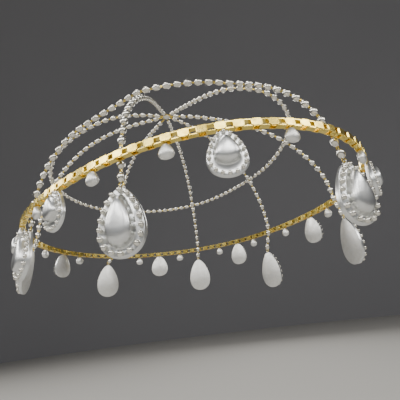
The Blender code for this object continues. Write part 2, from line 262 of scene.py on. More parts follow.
class PathRow:
    """A Geometry Nodes tree that sets copies of a part at even steps along a path."""

    def __init__(self) -> None:
        """Builds the tree with its named inputs."""
        tree = bpy.data.node_groups.new("row_along_path", "GeometryNodeTree")
        face = tree.interface
        face.new_socket("Path", in_out="INPUT", socket_type="NodeSocketGeometry")
        sockets = {
            "Count": "NodeSocketInt",
            "Part": "NodeSocketObject",
            "First turn": "NodeSocketFloat",
            "Turn each step": "NodeSocketFloat",
            "Loose turn": "NodeSocketFloat",
            "Size spread": "NodeSocketFloat",
            "Seed": "NodeSocketInt",
            "Finish": "NodeSocketMaterial",
        }
        self.keys = {
            name: face.new_socket(name, in_out="INPUT", socket_type=kind).identifier
            for name, kind in sockets.items()
        }
        face.new_socket("Row", in_out="OUTPUT", socket_type="NodeSocketGeometry")
        node = partial(add_node, tree)
        given = node("NodeGroupInput").outputs
        curve = node("GeometryNodeMeshToCurve", links={"Mesh": given["Path"]})
        points = node(
            "GeometryNodeCurveToPoints",
            links={"Curve": curve.outputs[0], "Count": given["Count"]},
            mode="COUNT",
        )
        along = node(
            "FunctionNodeAlignRotationToVector", links={"Vector": points.outputs["Tangent"]}, axis="Z"
        )
        upright = node(
            "FunctionNodeAlignRotationToVector",
            values={"Vector": UP},
            links={"Rotation": along.outputs[0]},
            axis="X",
            pivot_axis="Z",
        )
        index = node("GeometryNodeInputIndex")
        steps = node(
            "ShaderNodeMath",
            links={0: index.outputs[0], 1: given["Turn each step"]},
            operation="MULTIPLY",
        )
        begun = node("ShaderNodeMath", links={0: steps.outputs[0], 1: given["First turn"]}, operation="ADD")
        less = node("ShaderNodeMath", links={0: given["Loose turn"]}, values={1: -1.0}, operation="MULTIPLY")
        loose = node(
            "FunctionNodeRandomValue",
            links={2: less.outputs[0], 3: given["Loose turn"], "Seed": given["Seed"]},
            data_type="FLOAT",
        )
        turn = node("ShaderNodeMath", links={0: begun.outputs[0], 1: loose.outputs[1]}, operation="ADD")
        spin = node("FunctionNodeAxisAngleToRotation", values={"Axis": UP}, links={"Angle": turn.outputs[0]})
        placed = node(
            "FunctionNodeRotateRotation",
            links={"Rotation": upright.outputs[0], "Rotate By": spin.outputs[0]},
            rotation_space="LOCAL",
        )
        least = node(
            "ShaderNodeMath", links={1: given["Size spread"]}, values={0: 1.0}, operation="SUBTRACT"
        )
        size = node(
            "FunctionNodeRandomValue",
            values={3: 1.0},
            links={2: least.outputs[0], "Seed": given["Seed"]},
            data_type="FLOAT",
        )
        part = node("GeometryNodeObjectInfo", links={"Object": given["Part"]})
        copies = node(
            "GeometryNodeInstanceOnPoints",
            links={
                "Points": points.outputs["Points"],
                "Instance": part.outputs["Geometry"],
                "Rotation": placed.outputs[0],
                "Scale": size.outputs[1],
            },
        )
        real = node("GeometryNodeRealizeInstances", links={0: copies.outputs[0]})
        dressed = node(
            "GeometryNodeSetMaterial", links={"Geometry": real.outputs[0], "Material": given["Finish"]}
        )
        node("NodeGroupOutput", links={0: dressed.outputs[0]})
        self.tree = tree

    def mesh(
        self,
        name: str,
        path: Sequence[Vector],
        part: bpy.types.Mesh,
        count: int,
        material: bpy.types.Material,
        closed: bool = False,
        **inputs: float,
    ) -> bpy.types.Mesh:
        """The plain mesh of a row.

        Args:
            name: The mesh's name.
            path: The path's points.
            part: The mesh to repeat, with its length along Z; it is used up.
            count: How many copies.
            material: Their material.
            closed: Whether the path is a ring.
            inputs: first_turn, turn_each_step, loose_turn, size_spread or seed.

        Returns:
            The row as one mesh.
        """
        line = bpy.data.meshes.new(f"{name}_path")
        ends = [(k, k + 1) for k in range(len(path) - 1)] + ([(len(path) - 1, 0)] if closed else [])
        line.from_pydata([tuple(p) for p in path], ends, [])
        sample = in_scene(f"{name}_part", part)
        holder = in_scene(f"{name}_row", line)
        modifier = holder.modifiers.new("row", "NODES")
        modifier.node_group = self.tree
        given = {
            "Count": count,
            "Part": sample,
            "Finish": material,
            "First turn": float(inputs.get("first_turn", 0)),
            "Turn each step": float(inputs.get("turn_each_step", 0)),
            "Loose turn": float(inputs.get("loose_turn", 0)),
            "Size spread": float(inputs.get("size_spread", 0)),
            "Seed": int(inputs.get("seed", 0)),
        }
        for socket, value in given.items():
            modifier[self.keys[socket]] = value
        graph = bpy.context.evaluated_depsgraph_get()
        mesh = bpy.data.meshes.new_from_object(holder.evaluated_get(graph))
        mesh.name = name
        for helper in (sample, holder):
            bpy.data.objects.remove(helper)
        bpy.data.meshes.remove(line)
        bpy.data.meshes.remove(part)
        return mesh


# ---- Finishes


@dataclass(frozen=True)
class MetalFinish:
    """A worn precious metal: two tones in soft clouds, a hammered wobble and a fine grain."""

    name: str
    light: str
    dull: str
    roughness: float
    roughness_swing: float
    cloud: float
    wobble: float
    wobble_height: float
    grain: float
    grain_height: float
    cloud_detail: float = 4.0
    cloud_roughness: float = 0.6
    wobble_detail: float = 1.0
    grain_detail: float = 3.0
    tone_stops: tuple[float, float] = (0.3, 0.6)
    satin_stops: tuple[float, float] = (0.3, 0.7)

    def material(self) -> bpy.types.Material:
        """The finish as a material on Object coordinates."""
        material = bpy.data.materials.new(self.name)
        material.use_nodes = True
        tree = material.node_tree
        place = add_node(tree, "ShaderNodeTexCoord").outputs["Object"]
        clouds = add_node(
            tree,
            "ShaderNodeTexNoise",
            values={"Scale": 1 / self.cloud, "Detail": self.cloud_detail, "Roughness": self.cloud_roughness},
            links={"Vector": place},
        )
        tone = add_node(tree, "ShaderNodeValToRGB", links={"Fac": clouds.outputs["Fac"]})
        stops = zip(tone.color_ramp.elements, self.tone_stops, (self.dull, self.light))
        for element, position, colour in stops:
            element.position = position
            element.color = linear_colour(colour)
        satin = add_node(
            tree,
            "ShaderNodeMapRange",
            values={
                "From Min": self.satin_stops[0],
                "From Max": self.satin_stops[1],
                "To Min": self.roughness + self.roughness_swing,
                "To Max": self.roughness - self.roughness_swing,
            },
            links={"Value": clouds.outputs["Fac"]},
        )
        shader = tree.nodes["Principled BSDF"]
        shader.inputs["Metallic"].default_value = 1.0
        tree.links.new(tone.outputs["Color"], shader.inputs["Base Color"])
        tree.links.new(satin.outputs["Result"], shader.inputs["Roughness"])
        target = shader.inputs["Normal"]
        reliefs = (
            (self.grain, self.grain_detail, self.grain_height),
            (self.wobble, self.wobble_detail, self.wobble_height),
        )
        for size, detail, height in reliefs:
            pattern = add_node(
                tree,
                "ShaderNodeTexNoise",
                values={"Scale": 1 / size, "Detail": detail},
                links={"Vector": place},
            )
            bump = add_node(
                tree,
                "ShaderNodeBump",
                values={"Strength": 1.0, "Distance": height},
                links={"Height": pattern.outputs["Fac"]},
            )
            tree.links.new(bump.outputs["Normal"], target)
            target = bump.inputs["Normal"]
        return material


class Finish(Enum):
    """The metals of the piece and how each was worked."""

    # Sterling silver, pressed and burnished by hand: broad soft highlights with a faint wobble
    BURNISHED_SILVER = MetalFinish(
        "burnished_sterling_silver", light="#E9EBEC", dull="#DEDFDE", roughness=0.32, roughness_swing=0.03,
        cloud=3.2 * MM, wobble=3.0 * MM, wobble_height=0.06 * MM, grain=0.3 * MM,
        grain_height=0.003 * MM,
    )
    # Sterling silver backs left satin from the file: pale, diffuse and almost white
    SATIN_SILVER = MetalFinish(
        "satin_sterling_silver", light="#F0F0EE", dull="#E6E5E0", roughness=0.44, roughness_swing=0.04,
        cloud=2.4 * MM, wobble=3.4 * MM, wobble_height=0.08 * MM, grain=0.3 * MM,
        grain_height=0.004 * MM,
    )
    # Cast silver beads, tumbled: grey hollows and bright tops
    TUMBLED_SILVER = MetalFinish(
        "tumbled_sterling_silver", light="#F2F0E9", dull="#D8D5C8", roughness=0.25, roughness_swing=0.03,
        cloud=1.4 * MM, wobble=1.8 * MM, wobble_height=0.03 * MM, grain=0.3 * MM,
        grain_height=0.004 * MM,
    )
    # Pale 18 carat gold strip, polished flat: cream where the light strikes, amber inside the links
    PALE_GOLD = MetalFinish(
        "polished_18_carat_gold", light="#F3DB7C", dull="#DDC058", roughness=0.24, roughness_swing=0.04,
        cloud=3.5 * MM, wobble=2.0 * MM, wobble_height=0.03 * MM, grain=0.25 * MM,
        grain_height=0.002 * MM,
    )
    # Drawn 18 carat gold wire
    WIRE_GOLD = MetalFinish(
        "drawn_18_carat_gold_wire", light="#F1D56C", dull="#CFAE48", roughness=0.26, roughness_swing=0.04,
        cloud=1.5 * MM, wobble=1.0 * MM, wobble_height=0.02 * MM, grain=0.2 * MM,
        grain_height=0.002 * MM,
    )

    def material(self) -> bpy.types.Material:
        """The material of this finish, made once."""
        made = bpy.data.materials.get(self.value.name)
        return made if made is not None else self.value.material()


# ---- The worn form


@dataclass(frozen=True)
class HeadForm:
    """The circlet's oval and the dome of the strands, as the CAD part has them."""

    girth: float = 576 * MM
    pitches: int = 96
    first_upright_gap: float = 0.55
    chain_side: float = 2.8 * MM
    bead_diameter: float = 2.7 * MM
    strand_to_circlet: float = 0.55 * MM
    laid_gap: float = 0.3 * MM
    crossing_gap: float = 0.35 * MM
    oval_waves: Rows = ((2, 0.129, 53.3), (3, 0.0126, 39.8), (4, 0.0136, -22.5), (5, 0.003, 13.8))
    rise_waves: Rows = ((2, 0.0135, 51.8), (3, 0.0076, 39.8))
    oval_steps: int = 2880
    dome_height: float = 74.4 * MM
    crown_x: float = -2.1 * MM
    crown_y: float = -2.6 * MM
    dome_fall: float = 1.127
    dome_fall_swing: float = 0.553
    dome_fall_crest: float = 45.8
    dome_rise: float = 0.906
    dome_focus_share: float = 0.25
    hanging_places: Sequence[float] = (
        -1.15, 2.1, 5.3, 9.2, 14.0, 16.1, 18.2, 21.8, 25.1, 27.8, 30.5, 34.3, 37.2, 39.6, 42.3, 45.1,
        48.3, 51.1, 54.1, 56.9, 61.5, 65.3, 67.7, 70.9, 75.3, 77.1, 78.7, 80.2, 81.8, 86.2, 89.5, 93.1,
    )

    @staticmethod
    def waves(angle: np.ndarray, rows: Rows) -> np.ndarray:
        """The sum of the waves in rows at true angles."""
        return sum(share * np.cos(order * (angle - math.radians(crest))) for order, share, crest in rows)

    def unit_oval(self, angle: np.ndarray) -> np.ndarray:
        """The circlet's middle line at true angles, for a mean radius of 1."""
        radius = 1 + self.waves(angle, self.oval_waves)
        rise = self.waves(angle, self.rise_waves)
        return np.stack([radius * np.sin(angle), -radius * np.cos(angle), rise], axis=-1)

    @cached_property
    def angles(self) -> np.ndarray:
        """True angles at fine steps round the oval."""
        return np.linspace(0, 2 * math.pi, self.oval_steps + 1)

    @cached_property
    def reach(self) -> np.ndarray:
        """The unit oval's length up to each of the angles."""
        steps = np.linalg.norm(np.diff(self.unit_oval(self.angles), axis=0), axis=1)
        return np.concatenate([[0], np.cumsum(steps)])

    @cached_property
    def mean_radius(self) -> float:
        """The oval's mean radius."""
        return self.girth / float(self.reach[-1])

    @property
    def crown(self) -> Vector:
        """The point in which the strands meet."""
        return Vector((self.crown_x, self.crown_y, self.dome_height))

    def true_angle(self, azimuth: float) -> float:
        """The true angle in radians of an azimuth along the girth."""
        return float(np.interp((azimuth / 360) % 1 * self.reach[-1], self.reach, self.angles))

    def circlet(self, azimuth: float) -> tuple[Vector, Vector, Vector]:
        """The circlet at an azimuth.

        Args:
            azimuth: Degrees along the girth from the front.

        Returns:
            The middle point, the tangent and the level outward normal.
        """
        angle = self.true_angle(azimuth)
        step = math.pi / self.oval_steps
        tangent = Vector(self.unit_oval(angle + step) - self.unit_oval(angle - step)).normalized()
        return Vector(self.unit_oval(angle) * self.mean_radius), tangent, tangent.cross(UP).normalized()

    def dome(self, azimuth: float, level: float, lift: float) -> Vector:
        """A point on the dome of the strands.

        Args:
            azimuth: Degrees along the girth from the front.
            level: From the circlet, 0, to the crown, 1.
            lift: How far off the dome, in steps of one strand over another.

        Returns:
            The point.
        """
        point, _, outward = self.circlet(azimuth)
        base = point - outward * ((self.chain_side + self.bead_diameter) / 2 + self.strand_to_circlet)
        crest = math.radians(self.dome_fall_crest)
        fall = self.dome_fall + self.dome_fall_swing * math.cos(self.true_angle(azimuth) - crest)
        turn = min(max(level, 0), 1) * math.pi / 2
        axis_point = Vector((self.crown_x, self.crown_y, 0))
        raised = axis_point + (base - axis_point) * max(math.cos(turn), 0) ** fall
        raised.z += self.dome_height * math.sin(turn) ** self.dome_rise
        focus = Vector((self.crown_x, self.crown_y, self.dome_height * self.dome_focus_share))
        return raised + (raised - focus).normalized() * lift * (self.bead_diameter + self.crossing_gap)

    def place_azimuth(self, station: int) -> float:
        """The azimuth of a hanging piece's place."""
        return 360 * self.hanging_places[station] / self.pitches

    def under_circlet(self, station: int) -> Matrix:
        """The placing of a piece that hangs right under the circlet, its face outwards."""
        point, _, outward = self.circlet(self.place_azimuth(station))
        top = point - UP * (self.chain_side / 2 + self.laid_gap)
        return Matrix.Translation(top) @ Matrix.Rotation(math.atan2(outward.x, -outward.y), 4, "Z")


def hinge_of(number: int) -> tuple[Vector, Vector]:
    """Where a large pendant hangs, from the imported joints.

    Args:
        number: The pendant's number.

    Returns:
        The hinge's point and its axis.
    """
    joints = frame["record"]["behaviour"]["joints"]
    joint = next(j for j in joints if j["child"] == f"large_pendant_{number}")
    return Vector(joint["pos_m"]), Vector(joint["axis"])


# ---- Box chain


@dataclass(frozen=True)
class BoxChain:
    """The circlet: square links of flat strip, each a quarter turn from the next."""

    form: HeadForm
    plate: float = 4.08 * MM
    bar_width: float = 1.95 * MM
    upright_plate_width: float = 2.7 * MM
    level_plate_width: float = 2.15 * MM
    plate_taper: float = 0.2 * MM
    strip_thickness: float = 0.4 * MM
    corner: float = 0.5 * MM
    corner_steps: int = 3
    crisp_degrees: float = 5
    phase: float = 0.63
    loose_degrees: float = 1.5
    seed: int = 4
    path_steps_per_link: int = 8

    def link(self, plate_width: float) -> bpy.types.Mesh:
        """One link, a loop of strip in the plane of the chain's length and its thickness.

        Args:
            plate_width: The width of its two long sides; the bars at its ends are narrower.

        Returns:
            The link, with its length along Z and its strip's width along X.
        """
        half_long = self.plate / 2
        half_side = self.form.chain_side / 2
        rings = []
        inner = self.corner - self.strip_thickness
        section = ((self.corner, 1), (self.corner, -1), (inner, -1), (inner, 1))

        def ring(y: float, z: float, out_y: float, out_z: float, width: float) -> None:
            """Adds the strip's section at a point of the loop."""
            rings.append(
                [Vector((side * width / 2, y + out_y * far, z + out_z * far)) for far, side in section]
            )

        for sign_y, sign_z, start in ((1, 1, 0), (1, -1, -90), (-1, -1, -180), (-1, 1, -270)):
            middle_y = sign_y * (half_side - self.corner)
            middle_z = sign_z * (half_long - self.corner)
            plate_z = middle_z - sign_z * self.plate_taper
            if sign_y != sign_z:
                ring(middle_y, plate_z, sign_y, 0, plate_width)
            for step in range(self.corner_steps):
                turn = math.radians(start + 90 - 90 * step / (self.corner_steps - 1))
                ring(middle_y, middle_z, math.cos(turn), math.sin(turn), self.bar_width)
            if sign_y == sign_z:
                ring(middle_y, plate_z, sign_y, 0, plate_width)
        return lofted("box_link", rings, closed=True, smooth_under=self.crisp_degrees)

    def build(self, rows: PathRow) -> None:
        """Makes the upright and the level links and puts the chain in the scene."""
        count = self.form.pitches
        pitch = 360 / count
        steps = self.path_steps_per_link * count
        made = []
        upright = (self.phase, 0.0, self.upright_plate_width)
        level = (self.phase + 0.5, math.pi / 2, self.level_plate_width)
        for phase, turn, width in (upright, level):
            first = (self.form.first_upright_gap + phase) * pitch
            path = [self.form.circlet(first + 360 * k / steps)[0] for k in range(steps)]
            made.append(
                rows.mesh(
                    "links",
                    path,
                    self.link(width),
                    count,
                    Finish.PALE_GOLD.material(),
                    closed=True,
                    first_turn=turn,
                    loose_turn=math.radians(self.loose_degrees),
                    seed=self.seed,
                )
            )
        mesh = joined("box_chain", made, Finish.PALE_GOLD.material())
        add_piece("box_chain", mesh, ROOT_BODY, ["circlet"])


# ---- Beaded strands


@dataclass(frozen=True)
class Route:
    """A strand's way over the head: azimuth, level and lift, and the pendants at its ends."""

    node: str
    rows: Rows
    first_pendant: Optional[int] = None
    last_pendant: Optional[int] = None


ROUTES = (
    Route(
        "strand_front_centre",
        (
            (-4.3, 0, 0), (-3.8, 0.2, 0), (-2.7, 0.42, -0.55), (-3.6, 0.6, -0.4),
            (-6, 0.8, -0.2), (-8.2, 1, 0),
        ),
        first_pendant=1,
    ),
    Route(
        "strand_right",
        ((96.6, 0, 0), (97, 0.25, 0), (94.9, 0.5, 0), (94.3, 0.75, 0), (94.1, 1, 0)),
        first_pendant=3,
    ),
    Route(
        "strand_back_right",
        ((136.3, 0, 0), (136.2, 0.25, 0), (134.6, 0.5, 0), (133.5, 0.75, 0.2), (132.8, 1, 0)),
        first_pendant=4,
    ),
    Route(
        "strand_back_centre",
        ((180.5, 0, 0), (180.4, 0.25, 0), (180.1, 0.5, 0), (179.9, 0.75, 0), (179.8, 1, 0)),
        first_pendant=5,
    ),
    Route(
        "strand_back_left",
        ((226.9, 0, 0), (224.7, 0.25, 0), (225.7, 0.5, 0), (227, 0.75, 0), (228.1, 1, 0)),
        first_pendant=6,
    ),
    Route(
        "strand_left",
        ((278.5, 0, 0), (276.3, 0.25, 0), (274.9, 0.5, 0), (274.1, 0.75, 0), (273.5, 1, 0)),
        first_pendant=7,
    ),
    Route(
        "strand_front_arch",
        (
            (-53.5, 0, 0), (-38, 0.298, 0.3), (-26, 0.371, 0.05), (-14, 0.406, 0.1), (-4, 0.411, 0.5),
            (6, 0.409, 0.2), (16, 0.405, -0.05), (28, 0.404, -0.14), (40, 0.345, -0.24), (50, 0, 0),
        ),
        first_pendant=8,
        last_pendant=2,
    ),
    Route(
        "strand_back_loop",
        (
            (52, 1, 0), (49, 0.84, 0), (45.9, 0.66, 0), (47.4, 0.503, 0.4), (56.5, 0.414, 0.8),
            (74.7, 0.375, 1), (100.3, 0.353, 1), (124.8, 0.332, 1), (149.7, 0.329, 1), (180, 0.31, 1),
            (210, 0.31, 1), (240, 0.315, 1), (262, 0.328, 1), (275.7, 0.334, 1), (291.5, 0.397, 1),
            (299.9, 0.534, 0.6), (306.3, 0.678, 0.3), (308.3, 0.845, 0), (304.1, 1, 0),
        ),
    ),
)


class Line:
    """A polyline that can be walked by its length."""

    def __init__(self, points: Sequence[Vector]) -> None:
        """Keeps the points and the length up to each."""
        self.points = np.array([tuple(p) for p in points])
        steps = np.linalg.norm(np.diff(self.points, axis=0), axis=1)
        self.reach = np.concatenate([[0], np.cumsum(steps)])

    @property
    def length(self) -> float:
        """The whole length."""
        return float(self.reach[-1])

    def stretch(self, start: float, end: float, step: float) -> list[Vector]:
        """Points at even steps between two lengths.

        Args:
            start: The length to start at.
            end: The length to end at.
            step: About how far apart the points are.

        Returns:
            The points, both ends among them.
        """
        at = np.linspace(start, end, max(2, round((end - start) / step) + 1))
        columns = [np.interp(at, self.reach, column) for column in self.points.T]
        return [Vector(row) for row in np.stack(columns, 1)]

    def softened(self, step: float, window: int) -> "Line":
        """The line with its corners rounded by a running mean, its ends kept."""
        fine = np.array([tuple(p) for p in self.stretch(0, self.length, step)])
        soft = fine.copy()
        for k in range(1, len(fine) - 1):
            near = min(window, k, len(fine) - 1 - k)
            soft[k] = fine[k - near : k + near + 1].mean(axis=0)
        return Line([Vector(row) for row in soft])


@dataclass(frozen=True)
class BeadStrand:
    """A string of tumbled silver beads on gold wire loops."""

    form: HeadForm
    route: Route
    bead_width: float = 3.1 * MM
    bead_length: float = 4.35 * MM
    bead_pitch: float = 5.0 * MM
    bead_columns: int = 10
    bead_rings: int = 6
    bead_swell: float = 2.3
    bead_end_step: float = 0.45
    size_spread: float = 0.06
    loop_length: float = 2.7 * MM
    loop_width: float = 1.25 * MM
    loop_wire: float = 0.24 * MM
    loop_columns: int = 10
    loop_loose_degrees: float = 25
    crown_reach: float = 6.3 * MM
    fineness: int = 40
    step: float = 0.5 * MM
    soft_window: int = 7

    def bead(self) -> bpy.types.Mesh:
        """One bead, a swollen barrel with its length along Z."""
        rings = []
        steps = self.bead_rings - 1 + 2 * self.bead_end_step
        for k in range(self.bead_rings):
            place = math.cos(math.pi * (k + self.bead_end_step) / steps)
            radius = self.bead_width / 2 * math.sqrt(1 - abs(place) ** self.bead_swell)
            z = place * self.bead_length / 2
            rings.append([Vector((radius * x, radius * y, z)) for x, y in circle(self.bead_columns)])
        end = UP * self.bead_length / 2
        return lofted("bead", rings, poles=(end, -end))

    def row(self, place: float) -> np.ndarray:
        """The route's row at a place between rows, on a smooth curve through them."""
        rows = self.route.rows
        last = len(rows) - 1
        index = min(int(place), last - 1)
        share = place - index
        near = [np.array(rows[min(max(index + k, 0), last)], float) for k in (-1, 0, 1, 2)]
        slope_in = (near[2] - near[0]) / 2 if index > 0 else near[2] - near[1]
        slope_out = (near[3] - near[1]) / 2 if index < last - 1 else near[2] - near[1]
        square, cube = share**2, share**3
        return (
            (2 * cube - 3 * square + 1) * near[1]
            + (cube - 2 * square + share) * slope_in
            + (3 * square - 2 * cube) * near[2]
            + (cube - square) * slope_out
        )

    def tail(self, number: int) -> Vector:
        """The lower end of the tail that carries a large pendant."""
        return hinge_of(number)[0] + UP * (2 * EYE_RADIUS - EYE_SUNK)

    def line(self) -> Line:
        """The strand's middle line between its end beads' outer ends."""
        fine = self.fineness * (len(self.route.rows) - 1)
        points = [self.form.dome(*self.row(k / self.fineness)) for k in range(fine + 1)]
        bare = self.crown_reach - self.bead_length / 2
        body = [p for p in points if (p - self.form.crown).length >= bare]
        if self.route.first_pendant is not None:
            body = [self.tail(self.route.first_pendant)] + body
        if self.route.last_pendant is not None:
            body = body + [self.tail(self.route.last_pendant)]
        return Line(body).softened(self.step, self.soft_window)

    def build(self, rows: PathRow, seed: int) -> None:
        """Makes the beads and the wire loops.

        Args:
            rows: The tree that repeats them.
            seed: The seed of their small differences.
        """
        name = self.route.node.removeprefix("strand_")
        line = self.line()
        inset = self.bead_length / 2
        run = line.length - 2 * inset
        beads = round(run / self.bead_pitch) + 1
        pitch = run / (beads - 1)
        mesh = rows.mesh(
            f"beads_{name}",
            line.stretch(inset, line.length - inset, self.step),
            self.bead(),
            beads,
            Finish.TUMBLED_SILVER.material(),
            loose_turn=math.pi,
            size_spread=self.size_spread,
            seed=seed,
        )
        add_piece(f"beads_{name}", mesh, ROOT_BODY, [self.route.node])
        loop = wire_ring(
            "loop",
            Vector(),
            RIGHT,
            UP,
            (self.loop_width / 2 - self.loop_wire, self.loop_length / 2 - self.loop_wire),
            self.loop_wire,
            self.loop_columns,
        )
        loops = rows.mesh(
            f"loops_{name}",
            line.stretch(inset + pitch / 2, line.length - inset - pitch / 2, self.step),
            loop,
            beads - 1,
            Finish.WIRE_GOLD.material(),
            turn_each_step=math.pi / 2,
            loose_turn=math.radians(self.loop_loose_degrees),
            seed=seed,
        )
        wires = joined(f"wires_{name}", [loops] + self.end_wires(line), Finish.WIRE_GOLD.material())
        add_piece(f"wires_{name}", wires, ROOT_BODY, [])

    def end_wires(self, line: Line) -> list[bpy.types.Mesh]:
        """The wires past the end beads: an eye for a pendant, or a loop into the crown's ring."""
        found = []
        ends = (
            (self.route.first_pendant, line.stretch(0, self.step, self.step)[0]),
            (self.route.last_pendant, line.stretch(line.length - self.step, line.length, self.step)[-1]),
        )
        for number, end in ends:
            if number is not None:
                point, axis = hinge_of(number)
                centre = point + UP * EYE_RADIUS
                found.append(wire_ring("eye", centre, axis, UP, (EYE_RADIUS,) * 2, EYE_WIRE))
            else:
                inward = (self.form.crown - end).normalized()
                side = inward.cross(UP).normalized()
                reach = (self.form.crown - end).length - CrownRing.radius
                middle = end + inward * reach / 2
                radii = (self.loop_width / 2 - self.loop_wire, reach / 2 + self.loop_wire)
                found.append(wire_ring("crown_loop", middle, side, inward, radii, self.loop_wire))
        return found


@dataclass(frozen=True)
class CrownRing:
    """The ring in which the strands meet, with a flat bead in its middle."""

    form: HeadForm
    radius: float = 2.5 * MM
    wire: float = 0.3 * MM
    bead: float = 2.7 * MM
    bead_flatness: float = 0.5
    bead_rings: int = 8
    bead_columns: int = 16
    ring_columns: int = 24

    def build(self) -> None:
        """Makes the ring and the bead."""
        crown = self.form.crown
        ring = wire_ring("ring", crown, RIGHT, BACK, (self.radius,) * 2, self.wire, self.ring_columns)
        mesh = joined("crown_ring", [ring], Finish.WIRE_GOLD.material())
        add_piece("crown_ring", mesh, ROOT_BODY, [])
        rings = []
        for k in range(1, self.bead_rings):
            turn = math.pi * k / self.bead_rings
            radius = self.bead * math.sin(turn)
            z = self.bead * self.bead_flatness * math.cos(turn)
            rings.append([crown + Vector((radius * x, radius * y, z)) for x, y in circle(self.bead_columns)])
        top = crown + UP * self.bead * self.bead_flatness
        button = lofted("crown_bead", rings, poles=(top, crown * 2 - top))
        mesh = joined("crown_bead", [button], Finish.TUMBLED_SILVER.material())
        add_piece("crown_bead", mesh, ROOT_BODY, ["crown_joint"])


# ---- Pears and drops


@dataclass(frozen=True)
class PearSizes:
    """Sizes of one kind of granulated pear."""

    width: float
    height: float
    plate: float
    granule: float
    dome_top: float
    dome_size: tuple[float, float]
    dome_fall: float


LARGE = PearSizes(
    width=16.8 * MM, height=24.5 * MM, plate=3.0 * MM, granule=1.12 * MM, dome_top=6.9 * MM,
    dome_size=(10.4 * MM, 19.0 * MM), dome_fall=2.7 * MM,
)
MEDIUM = PearSizes(
    width=13.5 * MM, height=16.7 * MM, plate=2.4 * MM, granule=0.76 * MM, dome_top=5.4 * MM,
    dome_size=(9.0 * MM, 10.6 * MM), dome_fall=2.3 * MM,
)
MEDIUM_HANG_DEPTH = 1.0 * MM
WAIST_SAMPLES = 181


def pear_outline(
    sizes: tuple[float, float], inset: float, waist: float, columns: int
) -> list[tuple[float, float]]:
    """A pear's outline set in from its rim, with its top at the origin.

    Args:
        sizes: Width and height at the rim.
        inset: How far the outline is set in.
        waist: How much narrower the pear is above than below, from 0 for an oval.
        columns: How many points.

    Returns:
        Across and up for each point, clockwise from the top.
    """
    width, height = sizes
    turns = np.linspace(0, math.pi, WAIST_SAMPLES)
    widest = max(math.sin(turn) * (1 - waist * math.cos(turn)) for turn in turns)
    return [
        ((width / 2 - inset) * run * (1 - waist * rise) / widest, -inset - (height / 2 - inset) * (1 - rise))
        for rise, run in circle(columns)
    ]


